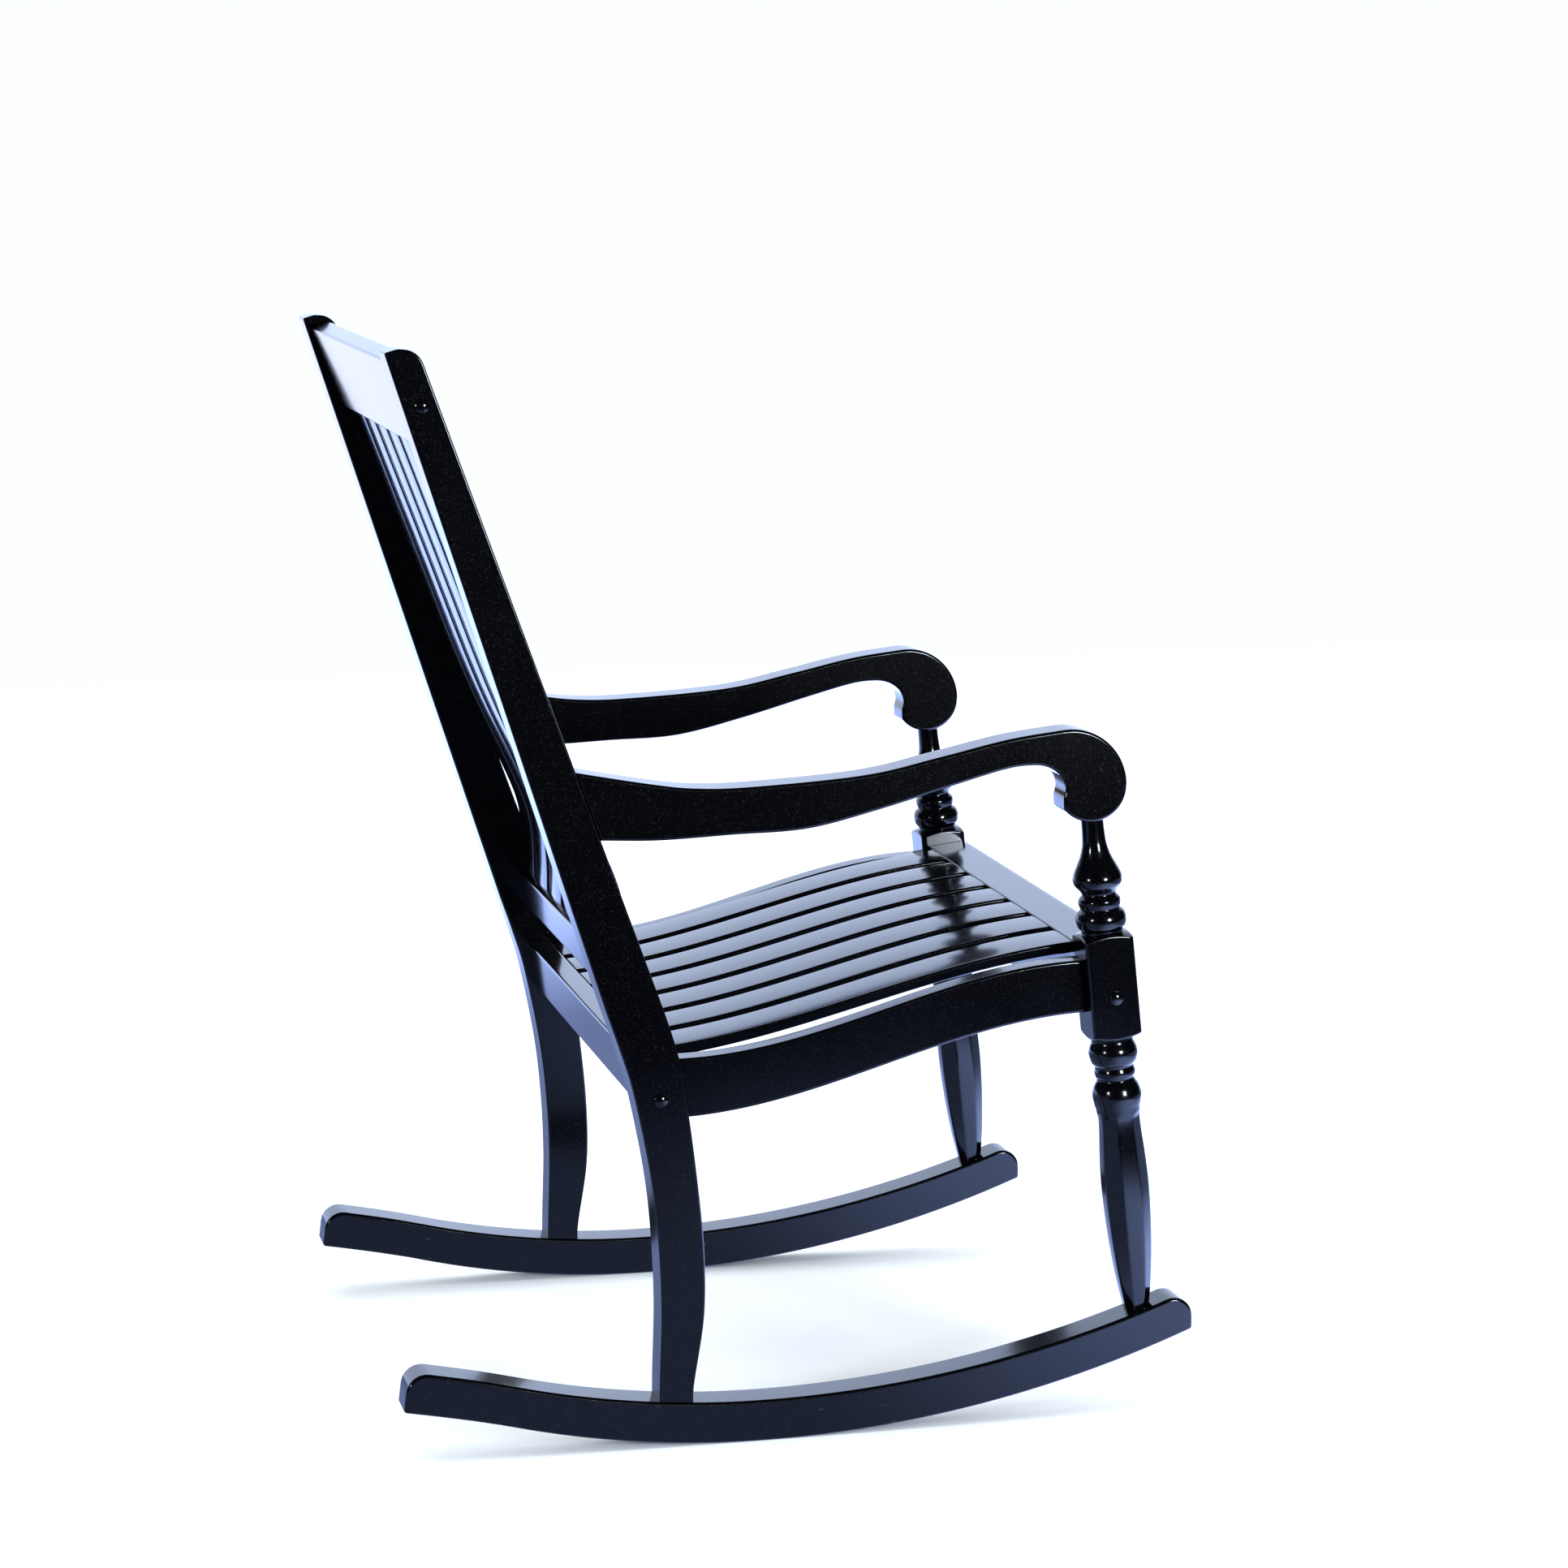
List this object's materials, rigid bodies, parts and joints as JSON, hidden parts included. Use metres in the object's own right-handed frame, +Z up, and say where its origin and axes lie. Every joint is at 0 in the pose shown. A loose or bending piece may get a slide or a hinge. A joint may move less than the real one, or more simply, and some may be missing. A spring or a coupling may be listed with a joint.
{
  "type": "rocking chair",
  "caption": "Slat-back wooden rocking chair with scrolled arms, turned front posts, a scooped slatted seat and curved rockers.",
  "frame": {"origin": "on the floor, midway between the rockers and midway along them", "axes": "+Z up, the sitter faces -Y, +X towards the sitter's left"},
  "size_m": [0.645, 0.773, 1.0379],
  "materials": {
    "black_lacquer": "gloss",
    "bare_beech": "bare, planed",
    "zinc_steel": "bright zinc plate"
  },
  "bodies": {
    "root": {"right_rocker": "black_lacquer", "left_rocker": "black_lacquer", "right_back_post": "black_lacquer", "left_back_post": "black_lacquer", "right_front_post": "black_lacquer", "left_front_post": "black_lacquer", "right_arm": "black_lacquer", "left_arm": "black_lacquer", "right_side_rail": "black_lacquer", "left_side_rail": "black_lacquer", "front_seat_rail": "black_lacquer", "front_seat_board": "black_lacquer", "rear_seat_rail": "black_lacquer", "crest_rail": "black_lacquer", "lower_back_rail": "black_lacquer", "seat_slat_1": "black_lacquer", "seat_slat_2": "black_lacquer", "seat_slat_3": "black_lacquer", "seat_slat_4": "black_lacquer", "seat_slat_5": "black_lacquer", "seat_slat_6": "black_lacquer", "seat_slat_7": "black_lacquer", "back_slat_1": "black_lacquer", "back_slat_2": "black_lacquer", "back_slat_3": "black_lacquer", "back_slat_4": "black_lacquer", "back_slat_5": "black_lacquer", "back_slat_6": "black_lacquer", "back_slat_7": "black_lacquer", "button_caps": "black_lacquer", "foot_dowels": "bare_beech", "arm_dowels": "bare_beech", "side_rail_dowels": "bare_beech", "cross_rail_dowels": "bare_beech", "frame_bolts": "zinc_steel", "threaded_inserts": "zinc_steel", "board_screws": "zinc_steel"}
  },
  "joints": []
}
